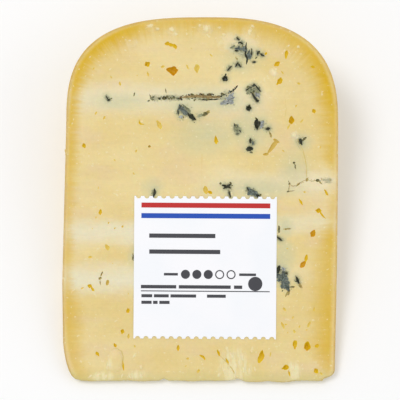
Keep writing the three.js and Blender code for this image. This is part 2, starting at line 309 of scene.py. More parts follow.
mould = {
    "black": [
        spot(-32.5, 99.3, 2.3, 0.5, -62), spot(-31.9, 98.6, 1.2, 0.8, 20), spot(8.9, 106.1, 2.2, 2, 0),
        spot(13, 111, 2, 0.7, 62), spot(13.9, 110.8, 1.9, 0.6, -58), spot(10.4, 109.7, 2.6, 0.6, 48),
        spot(13.5, 120, 1.6, 0.6, -45), spot(14.6, 118.6, 1.6, 0.7, -30),
        spot(12.9, 115.9, 1.4, 0.6, -10), spot(19.1, 111.9, 1.3, 0.7, 10),
        spot(20.4, 115.1, 1.6, 0.7, 80), spot(21.9, 114.4, 1.8, 0.7, -25), spot(18.2, 115, 2.6, 0.4, 85),
        spot(18.9, 103.6, 1.6, 0.8, 20), spot(20.5, 102.6, 3.3, 0.7, -50),
        spot(19.2, 99.5, 3.7, 0.8, -56), spot(20.2, 98.3, 1.5, 0.9, 10),
        spot(17.2, 95.7, 2.1, 1.8, 90, taper=0.2),
        spot(20.2, 89.7, 4, 2.1, 88, taper=0.2, lean=0.35, power=1.4), spot(23.9, 88.5, 1.7, 1, 10),
        spot(12.4, 88.9, 2.9, 0.6, -80), spot(13.9, 88.2, 2.6, 0.5, -62), spot(13.2, 86.7, 1.3, 0.5, 10),
        spot(17.8, 84.2, 1.9, 0.9, 85), spot(17.5, 81.5, 2.7, 1.8, 5, power=1.4),
        spot(35.4, 84.1, 2.7, 1.3, -72, power=1.4), spot(9.3, 68.3, 3.6, 0.8, -20),
        spot(9.7, 68.3, 3.1, 0.9, 30), spot(10.5, 65.6, 2.3, 0.6, -75), spot(17, 67.2, 2, 0.7, -60),
        spot(20.3, 65, 2, 1.1, -30), spot(18.9, 66.2, 2.4, 0.5, -50),
        spot(-16, 65.9, 3.4, 0.9, 84, bend=0.12), spot(27.5, 39, 3.3, 1.4, 72),
        spot(30, 38, 2.4, 0.6, -40), spot(34.3, 35.4, 3.3, 0.8, -68), spot(28, 49.9, 2.4, 0.7, -40),
        spot(-2.6, 92.5, 3.4, 1.7, -38, lean=-0.2, power=1.3), spot(-4.4, 94, 3.4, 0.8, -45),
        spot(-7, 95.9, 1.8, 1, 60), spot(-7.6, 94.4, 1.8, 0.5, -80), spot(18.1, 101.2, 2.2, 0.5, -35),
        spot(16.9, 102.4, 1.8, 0.5, 30), spot(17.6, 103.1, 1.9, 0.4, -10),
        spot(18.9, 101.9, 1.6, 0.4, 70),
    ],
    "slate": [
        spot(-5.7, 94.8, 4.6, 2.3, -42, lean=-0.2), spot(13.5, 116.7, 2.3, 1.5, 10),
        spot(15.5, 116.4, 2.5, 1.4, -15), spot(17.3, 114.4, 3.1, 1.5, 88),
        spot(28.8, 36.4, 4.8, 4, -30, power=1.4), spot(29.9, 34.2, 5.2, 3.4, -60, power=1.5),
        spot(18.5, 66.1, 3.9, 2.6, -35), spot(18.7, 83.6, 1.6, 1, 80),
    ],
    "haze": [
        spot(10.7, 98.7, 4.1, 3, 50), spot(8.5, 97.7, 2.3, 1.7, 20), spot(20.1, 100.5, 2.5, 1.4, -50),
        spot(22, 90.2, 2.5, 1.6, 80), spot(-6.6, 92.6, 1.4, 1, 0), spot(29.3, 39.3, 1.8, 1.3, -40),
        spot(9.1, 106, 1.1, 0.9, 0, deep=1.7),
    ],
    "moss": [
        spot(13.2, 88.2, 3.8, 1.9, -80), spot(-4.4, 95.4, 3.8, 1.3, -44), spot(0.2, 93.2, 2.2, 0.7, 25),
        spot(20.2, 101.2, 2.2, 1.2, 60), spot(11.6, 117.2, 2, 1, 20), spot(17.8, 101.9, 2.8, 1.9, 30),
    ],
    "olive": [
        spot(1.8, 93.7, 2.5, 1.3, 30), spot(36.7, 84.9, 2, 1, 40), spot(33.1, 76.6, 0.9, 0.8, 0),
        spot(33.5, 75.3, 1.8, 0.45, -80), spot(32.7, 33, 1.5, 0.7, 0), spot(-23.4, 43.5, 3, 0.6, 90),
        spot(27.8, 53.3, 2.6, 0.9, 90), spot(-31, 99.1, 1.1, 0.5, 30), spot(11.1, 117, 0.9, 0.4, 0),
        spot(14.9, 117.6, 1.2, 0.5, 80), spot(19.8, 113.4, 1.2, 0.5, 40), spot(-23, 100.6, 1.6, 0.5, 75),
        spot(-17.1, 99.5, 2.6, 0.5, -64), spot(-11.9, 101.8, 1.7, 0.35, -80),
        spot(31.4, 69.2, 1, 0.6, 60), spot(41.4, 70.4, 1.5, 1, 10), spot(31, 66.5, 1.1, 0.6, 20),
    ],
    "ochre": [
        spot(-35, 36, 1.3, 1, 60), spot(-34.4, 37.6, 2.4, 0.5, 66), spot(-34.9, 34.5, 2.4, 0.5, -84),
        spot(24.8, 86.6, 2.4, 0.8, -65), spot(31, 30.9, 3.2, 1, 58), spot(35.3, 33.4, 2, 1.1, -55),
        spot(30.9, 53.4, 2.8, 0.7, 5), spot(2.9, 94.4, 1.3, 1, 40), spot(12.9, 113.2, 1.5, 0.5, -50),
        spot(34.6, 69, 2, 0.7, 42), spot(37.7, 70.6, 1.4, 0.9, 60), spot(42.4, 69.6, 1.3, 0.5, -40),
    ],
}

# Thin lines, as (across, out, width) along each: the slit along a piercing needle's track, the seams by
# the torn tip, the fold and the tongue, narrow crease hollows whose darker colour is painted shade, and the
# crack that comes in from the right
tracks = {
    "bark": [
        [(-5.4, 99.6, 0.5), (-2.6, 99.9, 0.9), (0.2, 99.9, 1.2), (2.6, 99.8, 1.2), (5, 99.5, 1),
         (7.2, 99.7, 0.6)],
    ],
    "black": [
        [(2.8, 98.9, 0.3), (4.8, 98.7, 0.6), (6.4, 98.9, 0.4)],
        [(6.8, 99.6, 0.3), (7.8, 100.2, 0.5), (8.9, 100.6, 0.3)],
        [(10.6, 101.5, 0.3), (11.5, 101.9, 0.5), (12.1, 102.3, 0.3)],
        [(12.3, 102.4, 0.3), (12.8, 102.9, 0.7), (13.2, 103.6, 0.5)],
        [(16.3, 117.9, 0.5), (16, 114.6, 0.8), (16.7, 113, 0.7), (16.4, 111.4, 0.4)],
    ],
    "seamShade": [
        [(7.6, 8.4, 0.15), (9.4, 6.6, 0.3), (11.4, 4.2, 0.3), (12.4, 2.2, 0.4), (12.5, 0.8, 0.4)],
        [(33.7, 85.6, 0.15), (35, 83.7, 0.22), (36.2, 81.1, 0.26), (37.1, 77.5, 0.26), (37.5, 74, 0.22),
         (37.5, 72, 0.12)],
        [(-31.2, 10.8, 0.1), (-30.2, 11.3, 0.16), (-29, 11.4, 0.18), (-27.4, 10.4, 0.3), (-26.9, 8.6, 0.45),
         (-26.9, 6.8, 0.35)],
        [(30.1, 98.4, 0.12), (30.3, 95.4, 0.2), (30, 93, 0.15)],
    ],
    "rust": [
        [(31.2, 70.2, 0.2), (31.6, 68.9, 0.35), (31.2, 67.4, 0.2)],
        [(30.9, 66.6, 0.5), (32, 66.6, 0.4), (33.1, 66.8, 0.15)],
        [(31.7, 69, 0.2), (32.6, 68.4, 0.25), (33.8, 68.6, 0.15)],
        [(35.2, 69.5, 0.15), (36.4, 70.2, 0.2), (37.2, 70.5, 0.15)],
        [(38.5, 70.3, 0.15), (39.6, 70.1, 0.2), (40.9, 70.4, 0.15)],
    ],
}

# Separate dots of mould along those lines: how many of which looks, how long they are at most, and the
# way as (across, out, how far they stray)
dottedTracks = [
    {"dots": 110, "looks": ("moss", "olive", "moss", "black"), "long": 1,
     "way": [(-18, 98.9, 0.9), (-15, 99.3, 0.7), (-11, 99.3, 0.55), (-7, 99.4, 0.5), (-3, 99.5, 0.8),
             (2, 99.6, 1.1), (8, 100, 0.9)]},
    {"dots": 34, "looks": ("olive", "black", "walnut"), "long": 1.3,
     "way": [(-13, 99.3, 0.2), (-8, 99.1, 0.3), (-4, 98.9, 0.3), (0, 98.8, 0.2), (4, 98.7, 0.2)]},
    {"dots": 24, "looks": ("walnut", "olive", "walnut", "black"), "long": 1.3,
     "way": [(-6, 100, 0.3), (-2, 100.7, 0.2), (3, 100.5, 0.2), (8, 100.9, 0.4)]},
    {"dots": 30, "looks": ("black", "olive", "slate"), "long": 1,
     "way": [(7.5, 100.4, 0.5), (11.2, 101.4, 0.5), (13.3, 103.6, 0.4)]},
    {"dots": 14, "looks": ("rust", "moss"), "long": 0.7,
     "way": [(41.5, 70.2, 0.6), (44, 70.6, 0.9), (46.6, 70, 1)]},
    {"dots": 14, "looks": ("rust", "ochre"), "long": 0.6,
     "way": [(31.2, 66.8, 0.2), (31.8, 68.4, 0.3), (34.6, 69, 0.25), (37.4, 70.5, 0.25), (41, 70.3, 0.25)]},
]

# Low flakes of curd, and slivers that stand up where the tip tore; the flakes by the tongue's lower left edge
# and inside the crescent eye carry pale painted highlights
flakesAndHighlights = [
    spot(-17.4, 124.7, 3.4, 1.6, 10), spot(-14.8, 123.6, 1.7, 1, -20), spot(-9.8, 123.4, 2.6, 1.7, -40),
    spot(-8.2, 121.8, 1.4, 1, 20), spot(2.3, 123.9, 3.6, 2.9, 5, power=2.4),
    spot(0.1, 124.8, 1.6, 1.1, 40), spot(6.8, 123.9, 1.4, 1.1, 0), spot(8.4, 121.7, 1.7, 1.1, -60),
    spot(17.6, 122.6, 4.4, 1.5, 72, taper=0.5), spot(18.5, 124.5, 2, 1.3, -30),
    spot(-24.6, 119.5, 1.2, 1, 40), spot(25.9, 108.4, 3.4, 1.1, -54), spot(22.7, 105.7, 2.2, 0.7, -80),
    spot(31.1, 117.6, 2.3, 0.6, 62), spot(34.6, 117.3, 1.9, 0.7, -50), spot(33.1, 86.3, 2, 1.6, -20),
    spot(34.3, 85.4, 1.6, 1, 10), spot(-46.5, 79.6, 2.4, 0.7, -60), spot(11.2, 65.7, 2, 0.5, -78),
    # Painted highlights: the flake inside the crescent eye at (-20.2, 91.1) and the one on the tongue's lower
    # left edge at (-32.2, 5.3)
    spot(-20.2, 91.1, 1.4, 0.5, -50), spot(-32.2, 5.3, 4, 1.3, 74), spot(-22.9, 9, 3, 0.7, 62),
    spot(-20.6, 4.9, 1.7, 1.2, 60),
]
slivers = [
    spot(-38.4, 1.7, 2.2, 0.5, 35), spot(-35.5, 2.1, 2.8, 0.6, 42), spot(-33, 1.5, 1.8, 0.5, 60),
    spot(-27.3, 1.7, 1.9, 0.5, 70), spot(-24.6, 1.5, 1.6, 0.5, -50), spot(-20.9, 1.8, 2.3, 0.5, 65),
    spot(8.4, 4, 4, 0.6, -74), spot(11.3, 8.6, 4.6, 0.5, -56), spot(10.3, 3.2, 4.2, 0.6, 88),
    spot(12.3, 6.6, 5, 0.7, -70), spot(12.4, 2.2, 2.8, 0.6, 85), spot(15.4, 3.8, 3.4, 0.6, -80),
    spot(6.6, 2, 2.6, 0.5, 55), spot(17.3, 3.4, 2.8, 0.6, 82), spot(32.8, 4.6, 4, 0.7, 84),
    spot(34.2, 3.4, 3, 0.6, -75), spot(9.6, 11.2, 3.6, 0.6, -62), spot(15, 8.4, 4, 0.6, -78),
    spot(18.2, 10.8, 3, 0.5, 80), spot(19.4, 4.2, 2.2, 0.5, -80),
]
# A fold where the paste drew apart, and a smooth tongue that the knife turned over
fold = [spot(34.9, 82.6, 6, 0.55, -62), spot(36.7, 77.4, 6.4, 0.5, -77), spot(37.2, 72.8, 3.6, 0.4, -88)]
tongue = spot(-29.8, 7, 7.8, 5.4, 80, taper=-0.14, power=2.6)

# mask tells the material what a wall is: 1 an eye's, 2 mould, 0 paste. lift is how far a hollow's ball
# stands out of the face, so that its walls slope, or with a minus how far a raised one's sinks into it.
looks = {
    "gold": {"colour": (226, 190, 14), "mask": 1, "rough": 0.28, "deep": 0.42, "power": 1.6, "lift": 0.45},
    "amber": {"colour": (214, 160, 0), "mask": 1, "rough": 0.2, "deep": 0.42, "power": 1.6, "lift": 0.45},
    "straw": {"colour": (228, 200, 92), "mask": 1, "rough": 0.26, "deep": 0.35, "power": 1.7, "lift": 0.5},
    "tan": {"colour": (212, 182, 88), "mask": 1, "rough": 0.26, "deep": 0.4, "power": 1.7, "lift": 0.5},
    "black": {"colour": (58, 60, 42), "mask": 2, "rough": 0.36, "deep": 0.5, "power": 1.7, "lift": 0.4},
    "slate": {"colour": (112, 121, 112), "mask": 2, "rough": 0.8, "deep": 0.28, "power": 1.8, "lift": 0.5},
    "haze": {"colour": (160, 163, 158), "mask": 2, "rough": 0.8, "deep": 0.22, "power": 1.8, "lift": 0.5},
    "moss": {"colour": (146, 148, 114), "mask": 2, "rough": 0.8, "deep": 0.25, "power": 1.8, "lift": 0.5},
    "olive": {"colour": (126, 120, 76), "mask": 2, "rough": 0.5, "deep": 0.4, "power": 1.7, "lift": 0.5},
    "ochre": {"colour": (176, 156, 90), "mask": 2, "rough": 0.6, "deep": 0.35, "power": 1.8, "lift": 0.5},
    "bark": {"colour": (160, 138, 90), "mask": 2, "rough": 0.7, "deep": 0.35, "power": 2, "lift": 0.45},
    "walnut": {"colour": (122, 100, 60), "mask": 2, "rough": 0.6, "deep": 0.4, "power": 1.8, "lift": 0.45},
    # Painted shade: the darker colour of the thin crease hollows along the seams
    "seamShade": {"colour": (218, 198, 124), "mask": 1, "rough": 0.4, "deep": 0.3, "power": 2, "lift": 0.45},
    "rust": {"colour": (186, 166, 116), "mask": 2, "rough": 0.7, "deep": 0.4, "power": 1.8, "lift": 0.45},
    "flake": {"colour": (0, 0, 0), "mask": 0, "rough": 0.8, "deep": 0.07, "power": 1.7, "lift": -0.7},
    "sliver": {"colour": (0, 0, 0), "mask": 0, "rough": 0.5, "deep": 0.14, "power": 1.8, "lift": -0.65},
    "fold": {"colour": (0, 0, 0), "mask": 0, "rough": 0.2, "deep": 0.5, "power": 2, "lift": -0.4},
    "tongue": {"colour": (0, 0, 0), "mask": 0, "rough": 0.1, "deep": 0.16, "power": 2.4, "lift": -0.36},
}

# Soft patches of colour on the upper cut face: crumbly pale curd, the green cast round mould, paste that
# the wire tore in streaks, with one patch a painted highlight on the tongue's lower left edge, and grey
# stains where the mould is thickest
clouds = {
    "pale": [
        spot(-17, 124.3, 6, 4), spot(-9.6, 122.8, 5, 4), spot(2, 124, 8, 5), spot(17.4, 122.6, 6, 7, -20),
        spot(-24, 119, 5, 4), spot(14, 118, 22, 9, -10), spot(33.4, 86, 3, 3, -40),
        spot(25.8, 108.2, 3.4, 1.6, -50), spot(41, 70, 18, 9), spot(29.5, 39.5, 4, 4),
    ],
    "green": [
        spot(2, 98, 44, 11), spot(18, 88, 22, 18), spot(19, 67.5, 44, 7), spot(33, 75, 13, 15),
        spot(29, 44, 10, 24), spot(15, 113, 17, 12), spot(-16.6, 68, 9, 7), spot(2, 86, 30, 16),
        spot(-22.6, 43.5, 6, 9), spot(-28, 98, 26, 6), spot(36, 84, 8, 8), spot(30, 54, 6, 10),
    ],
    "torn": [
        # Painted highlight: the first torn patch lights the tongue's lower left edge
        spot(-31.6, 5.8, 5, 2.8, 80), spot(12.5, 5, 15, 18), spot(33, 3.5, 6, 9), spot(-34, 1.5, 10, 4),
        spot(-22, 2, 8, 3.6),
    ],
    "stain": [
        spot(-9.5, 99.3, 16, 3), spot(1, 99.7, 14, 3.4), spot(8.5, 100.4, 7, 3.4, 40),
        spot(-15.5, 99.2, 5, 3.6), spot(19.4, 101.2, 6, 5.4), spot(13.2, 88.2, 4.6, 3.2, -80),
        spot(15.6, 115, 6, 5), spot(-5, 94, 6, 3.4, -42), spot(29, 36.4, 7, 5.4, -62),
        spot(9.8, 67.8, 5, 3.2), spot(45, 70.4, 4.6, 3), spot(18.7, 66, 5, 3.4, -35),
        spot(21.4, 90, 4.4, 4),
    ],
}

# How far in and how strongly the rind yellows the paste, by the bearing from the face's middle
rindZone = {
    "middleOut": 64,
    "stations": [  # degrees, depth at which it ends, strength, depth at which it is strongest
        (-180, 5.4, 0.48, 1), (-168, 4.2, 0.45, 1), (-160, 5.6, 0.55, 1), (-152, 4, 0.36, 1),
        (-144, 8, 0.66, 1.2), (-136, 9.5, 0.66, 1.4), (-128, 9, 0.5, 2), (-118, 5, 0.2, 1),
        (-95, 1, 0, 0.5), (-60, 1, 0, 0.5), (-53, 9, 0.5, 1.6), (-48, 12, 0.82, 1.7),
        (-40, 11.5, 0.8, 1.7), (-32, 10.5, 0.66, 1.8), (-24, 11, 0.66, 2), (-16, 7.6, 0.78, 1.5),
        (-8, 5.4, 0.42, 1.4), (0, 4.6, 0.36, 0.8), (8, 3, 0.04, 0.8), (16, 7.2, 0.72, 1.6),
        (24, 8.6, 0.6, 1), (32, 9, 0.88, 1.2), (40, 10.4, 1, 1.7), (48, 11, 0.96, 1.6),
        (56, 10, 0.84, 1.4), (64, 9.6, 0.76, 1), (72, 8.6, 0.66, 0.9), (80, 6.4, 0.74, 0.9),
        (88, 8, 0.7, 0.7), (96, 8.4, 0.76, 0.7), (104, 8, 0.68, 0.7), (112, 9.8, 0.98, 1),
        (120, 10.4, 1, 1.4), (128, 8.6, 1, 1.5), (136, 7.8, 0.92, 1.3), (144, 6.2, 0.84, 1.2),
        (152, 6.2, 0.7, 1), (160, 6, 0.74, 1.2), (168, 5.6, 0.6, 1.2), (176, 5.8, 0.58, 0.9),
        (180, 5.4, 0.5, 1),
    ],
}

cheese = {
    "cell": 0.9,  # size of the mesh's squares on the cut faces
    "rimInset": 0.5,
    "rimWear": 0.22,
    "steps": 20,  # between the two cut faces
    "relief": 0.11,
    "shortestEdge": 0.004,  # of the finished mesh
    "sharpFrom": 35,  # degrees between two faces whose edge stays crisp
    "tornReach": 1.6,  # how far out the torn tip is taken for cut face and not for rind
    "keptApart": 0.75,  # of two lumps' lengths, as they reach past their halves when bent and roughened
    "seed": 7,
    # Scattered marks: how many, the longest, and how wide for their length
    "pinholes": (54, 1.1, 0.5),
    "lowerEyes": (46, 4, 0.5),
    "lowerMould": (20, 5, 0.32),
    "strewnAcross": 46,
    "strewnFrom": 2,
    "clearance": 1.6,  # from a scattered mark to the next one's end
    "rindMargin": 2.5,
    "specks": 2,  # flecks of mould round each of its patches
    "speckReach": (0.75, 1.35),  # how far out they lie, in half patches
    "speckLong": (0.35, 1),
    "trackOverlap": 1.5,
    # How far each tint reaches past its marks
    "reach": {"pale": 1, "green": 1, "torn": 0.5, "stain": 0.3, "flake": 0.3, "halo": 2.4, "fringe": 1},
    "haloedFrom": 1.3,  # length of the smallest patch of mould that has a halo
    # Level bands of pale curd: out, half height, strength, left end, right end
    "bands": [
        (99.2, 5.9, 0.9, -54, 22), (69.5, 5, 0.66, 2, 56), (52.2, 4.8, 1.15, -56, 0),
        (55.1, 3.8, 0.8, 20, 56), (35.8, 5.3, 1.2, -56, 0), (37, 3.2, 0.44, 20, 40),
    ],
    "bandFade": 9,
    "tones": {
        "cream": (233, 213, 154), "deepCream": (228, 205, 138), "duskyCream": (229, 205, 158),
        "paleBand": (232, 224, 192), "paleCurd": (238, 226, 190), "greenCast": (203, 202, 162),
        "halo": (180, 184, 146), "stain": (150, 150, 118), "fringe": (118, 120, 94), "fleck": (112, 116, 88),
        "underRind": (217, 177, 22), "rind": (228, 202, 140), "rindBlotch": (212, 180, 116),
        "rindBloom": (236, 219, 178), "rindShade": (198, 160, 96), "rindPore": (170, 136, 78),
        # The torn colour also paints a highlight on the tongue's lower left edge
        "rindBrim": (214, 174, 76), "tip": (208, 198, 134), "torn": (239, 229, 184), "dust": (240, 228, 190),
        # The flake colour also paints two highlights, by the tongue and inside the crescent eye
        "flake": (241, 228, 182), "eyeFloor": (206, 156, 0),
    },
}


def cutIntoSquares(bm, size):
    corners = [vert.co.copy() for vert in bm.verts]
    for axis in (Vector((1, 0, 0)), Vector((0, 1, 0))):
        low = min(place.dot(axis) for place in corners)
        high = max(place.dot(axis) for place in corners)
        for step in range(1, round((high - low) / size)):
            geometry = bm.verts[:] + bm.edges[:] + bm.faces[:]
            place = axis * (low + step * size)
            bmesh.ops.bisect_plane(bm, geom=geometry, dist=0.1, plane_co=place, plane_no=axis)


# Slow swells left by the cutting wire, deepest where the paste is soft
def reliefAt(across, out, seed):
    place = Vector((across, out, seed))
    swell = noise.noise(place * 0.07) + 0.5 * noise.noise(place * 0.22)
    drag = 0.25 * noise.noise(Vector((across * 0.05, out * 0.9, seed)))
    return cheese["relief"] * (swell + drag)


# The section, cut into squares and swung round the wheel's axis, with its rim worn down
def wedgeBody():
    bm = bmesh.new()
    ring = [bm.verts.new((across, wheel["tipRadius"] + out, 0)) for across, out in sectionOutline()]
    face = bm.faces.new(ring)
    bmesh.ops.inset_region(
        bm, faces=[face], thickness=cheese["rimInset"], use_boundary=True, use_even_offset=True)
    cutIntoSquares(bm, cheese["cell"])
    geometry = bm.verts[:] + bm.edges[:] + bm.faces[:]
    bmesh.ops.spin(
        bm, geom=geometry, cent=(0, 0, 0), axis=(1, 0, 0), angle=upperFace, steps=cheese["steps"])
    bmesh.ops.recalc_face_normals(bm, faces=bm.faces)
    rim = {vert for edge in bm.edges if edge.calc_face_angle(0) > 1 for vert in edge.verts}
    for vert in rim:
        vert.co -= vert.normal * cheese["rimWear"]
    for vert in bm.verts:
        out = math.hypot(vert.co.y, vert.co.z)
        if vert in rim:
            continue
        if vert.normal.dot(upperNormal) > 0.99:
            vert.co += upperNormal * reliefAt(vert.co.x, out, 0)
        elif vert.normal.z < -0.99:
            vert.co.z += abs(reliefAt(vert.co.x, out, 9))
    return bm


# The rind alone, for finding its nearest place
def rindTree(bm):
    shell = bm.copy()
    tipReach = wheel["tipRadius"] + cheese["tornReach"]
    cutFaces = [
        face for face in shell.faces
        if face.normal.dot(upperNormal) > 0.9 or face.normal.z < -0.9
        or (math.hypot(face.calc_center_median().y, face.calc_center_median().z) < tipReach
            and abs(face.normal.x) < 0.7)
    ]
    bmesh.ops.delete(shell, geom=cutFaces, context="FACES")
    tree = BVHTree.FromBMesh(shell)
    shell.free()
    return tree


def addColourLayers(bm):
    return bm.loops.layers.float_color.new("wallColour"), bm.loops.layers.float.new("wallMask")


# A hollow or, where it is added, a flake: a ball drawn out, bent and roughened, with its middle lifted off
# the face or sunk under it
def addLump(bm, layers, one, look, face, seed):
    frayed = look["mask"] == 2
    large = 4 if frayed and one["wide"] > 1.2 else 3
    subdivisions = 1 if one["long"] < 0.8 else 2 if one["long"] < 1.7 else large
    verts = bmesh.ops.create_icosphere(bm, subdivisions=subdivisions, radius=1)["verts"]
    power = one.get("power", look["power"])
    deep = one.get("deep", look["deep"]) * one["wide"]
    taper, bend, lean = (one.get(name, 0) for name in ("taper", "bend", "lean"))
    lift = look["lift"]
    grow = 1 / math.sqrt(1 - lift * lift)  # keeps the outline on the face at its size
    for vert in verts:
        along, aside, down = vert.co
        reach = (abs(along) ** power + abs(aside) ** power) ** (1 / power)
        square = math.hypot(along, aside) / max(reach, 0.001)
        grain = vert.co * 1.7 + Vector((seed, seed * 0.37, 0))
        coarse, fine = noise.noise(grain * 2.6), noise.noise(grain * 6)
        swell = 1 + look["rough"] * (noise.noise(grain) + 0.4 * coarse + 0.3 * fine)
        breadth = one["wide"] / 2 * (1 + taper * along)
        shifted = along * square + lean * (1 - along * along)
        vert.co.x = shifted * one["long"] / 2 * swell * grow
        vert.co.y = aside * square * breadth * swell * grow + bend * one["long"] * (along * along - 0.4)
        vert.co.z = (down + lift) * deep / (1 - abs(lift)) * swell
    bmesh.ops.transform(bm, matrix=onFace(face, one["at"], one["turn"]), verts=verts)
    colour = linear(*look["colour"])
    for made in {face for vert in verts for face in vert.link_faces}:
        for loop in made.loops:
            loop[layers[0]] = colour
            loop[layers[1]] = look["mask"]


# Groups in which no two touch, since each group is cut or added as one mesh
def keepApart(lumps):
    groups = []
    for lump in lumps:
        one = lump[0]
        for group in groups:
            gaps = (
                (Vector(one["at"]) - Vector(other["at"])).length
                - cheese["keptApart"] * (one["long"] + other["long"])
                for other, look, face in group if face == lump[2]
            )
            if min(gaps, default=1) > 0:
                group.append(lump)
                break
        else:
            groups.append([lump])
    return groups


# Cuts the lumps out of the body or adds them to it, as operation says
def join(body, lumps, operation):
    for number, group in enumerate(keepApart(lumps)):
        bm = bmesh.new()
        layers = addColourLayers(bm)
        for index, (one, look, face) in enumerate(group):
            addLump(bm, layers, one, look, face, 3.1 * index + 17 * number)
        tool = newPiece("tool", bm)
        cut = body.modifiers.new("cut", "BOOLEAN")
        cut.operation = operation
        cut.solver = "MANIFOLD"
        cut.object = tool
        carved = bpy.data.meshes.new_from_object(body.evaluated_get(bpy.context.evaluated_depsgraph_get()))
        body.modifiers.clear()
        body.data = carved
        bpy.data.objects.remove(tool)
    print(operation.lower(), len(lumps), "lumps,", len(body.data.polygons), "faces")


# A track is a row of drawn-out hollows that run into each other
def trackHollows(points):
    hollows = []
    for (across, out, width), (nextAcross, nextOut, nextWidth) in zip(points, points[1:]):
        long = cheese["trackOverlap"] * math.hypot(nextAcross - across, nextOut - out)
        turn = math.degrees(math.atan2(nextOut - out, nextAcross - across))
        middle = ((across + nextAcross) / 2, (out + nextOut) / 2)
        hollows.append(spot(*middle, long, (width + nextWidth) / 2, turn))
    return hollows


def insideRind(at, margin):
    side = (abs(at[0]) + margin) / section["halfAcross"]
    crown = max(0, at[1] + margin - section["shoulderOut"]) / (wheel["faceLength"] - section["shoulderOut"])
    return side ** section["roundness"] + crown ** section["roundness"] < 1 and at[1] > margin


def clearOf(at, other):
    return (Vector(at) - Vector(other["at"])).length > cheese["clearance"] + other["long"] / 2


# Marks strewn over a cut face, clear of those that are taken
def scatter(kind, taken, rand):
    count, longest, breadth = cheese[kind]
    half, start = cheese["strewnAcross"], cheese["strewnFrom"]
    made = []
    while len(made) < count:
        at = (rand.uniform(-half, half), rand.uniform(start, wheel["faceLength"]))
        clear = all(clearOf(at, other) for other in taken + made)
        if clear and insideRind(at, cheese["rindMargin"]):
            long = longest * (0.3 + 0.7 * rand.random() ** 2)
            wide = long * breadth * rand.uniform(0.7, 1.3)
            made.append(spot(*at, long, wide, rand.uniform(0, 180), taper=0.2))
    return made


# Flecks of mould that fray the edge of each patch
def specksRound(group, rand):
    made = []
    for one in group:
        for _ in range(round(cheese["specks"] * min(1.6, one["long"] / 3))):
            bearing, reach = rand.uniform(0, math.tau), rand.uniform(*cheese["speckReach"])
            along = reach * one["long"] / 2 * math.cos(bearing)
            aside = (reach * one["wide"] / 2 + 0.3) * math.sin(bearing)
            offset = Vector((along, aside))
            offset.rotate(Matrix.Rotation(math.radians(one["turn"]), 2))
            long = rand.uniform(*cheese["speckLong"])
            wide = long * rand.uniform(0.4, 0.8)
            made.append(spot(*(Vector(one["at"]) + offset), long, wide, rand.uniform(0, 180)))
    return made


# Dots strung along a needle's track
def dotsAlong(track, rand):
    made = []
    way = track["way"]
    for _ in range(track["dots"]):
        place = rand.random() * (len(way) - 1)
        across, out, stray = Vector(way[int(place)]).lerp(way[int(place) + 1], place % 1)
        long = rand.uniform(0.3, 1) * track["long"]
        at = (across, out + rand.gauss(0, stray * 0.6))
        dot = spot(*at, long, long * rand.uniform(0.35, 0.8), rand.uniform(-60, 60))
        made.append((dot, looks[rand.choice(track["looks"])], upperFace))
    return made


# All that is cut out of the cheese, and the lower face's mould by itself
def cheeseLumps():
    rand = random.Random(cheese["seed"])
    hollows = [(one, looks[name], upperFace) for name, group in {**eyes, **mould}.items() for one in group]
    for name, lines in tracks.items():
        hollows += [(one, looks[name], upperFace) for line in lines for one in trackHollows(line)]
    flecks = specksRound([one for name in ("black", "slate", "haze") for one in mould[name]], rand)
    for index, one in enumerate(flecks):
        hollows.append((one, looks["olive" if index % 3 else "black"], upperFace))
    for track in dottedTracks:
        hollows += dotsAlong(track, rand)
    taken = [one for one, look, face in hollows]
    pinholes = scatter("pinholes", taken + flakesAndHighlights, rand)
    hollows += [(one, looks["straw"], upperFace) for one in pinholes]
    lowerMould = scatter("lowerMould", [], rand)
    lowerEyes = scatter("lowerEyes", lowerMould, rand)
    for index, one in enumerate(lowerMould):
        hollows.append((one, looks["slate" if index % 3 == 0 else "black"], lowerFace))
    for index, one in enumerate(lowerEyes):
        hollows.append((one, looks["straw" if index % 2 else "gold"], lowerFace))
    return hollows, lowerMould


# The rind's depth, strength and inset at a place on it
def zoneAt(across, out):
    bearing = math.degrees(math.atan2(out - rindZone["middleOut"], across))
    stations = rindZone["stations"]
    for (start, *zone), (end, *nextZone) in zip(stations, stations[1:]):
        if start <= bearing <= end:
            return Vector(zone).lerp(nextZone, (bearing - start) / (end - start))
    return stations[0][1:]


# Writes at each point how deep it lies in each kind of soft patch, and where the rind is nearest to it
def tintPoints(mesh, rind, lowerMould):
    points = KDTree(len(mesh.vertices))
    nearestRind = mesh.attributes.new("nearestRind", "FLOAT_VECTOR", "POINT").data
    zone = mesh.attributes.new("rindZone", "FLOAT_VECTOR", "POINT").data
    for vert in mesh.vertices:
        points.insert(vert.co, vert.index)
        near = rind.find_nearest(vert.co)[0]
        nearestRind[vert.index].vector = near
        zone[vert.index].vector = zoneAt(near.x, math.hypot(near.y, near.z) - wheel["tipRadius"])
    points.balance()
    grown = [one for name in ("black", "slate", "haze", "moss") for one in mould[name]]
    grown = [one for one in grown if one["long"] > cheese["haloedFrom"]]
    upper = {**clouds, "flake": flakesAndHighlights + slivers, "halo": grown, "fringe": mould["black"] + mould["slate"]}
    lowerGreen = [spot(*one["at"], one["long"] + 9, 8) for one in lowerMould]
    lower = {"halo": lowerMould, "fringe": lowerMould, "green": lowerGreen}
    for name, reach in cheese["reach"].items():
        values = mesh.attributes.new(name, "FLOAT", "POINT").data
        marks = [(one, upperFace) for one in upper[name]] + [(one, lowerFace) for one in lower.get(name, [])]
        for one, face in marks:
            place = onFace(face, one["at"], one["turn"])
            home = place.inverted()
            long, wide = one["long"] / 2 + reach, one["wide"] / 2 + reach
            for co, index, distance in points.find_range(place.translation, long):
                near = home @ co
                away = Vector((near.x / long, near.y / wide, near.z / max(3, reach))).length
                if away < 1:
                    values[index].value = max(values[index].value, (1 - away * away) ** 1.5)


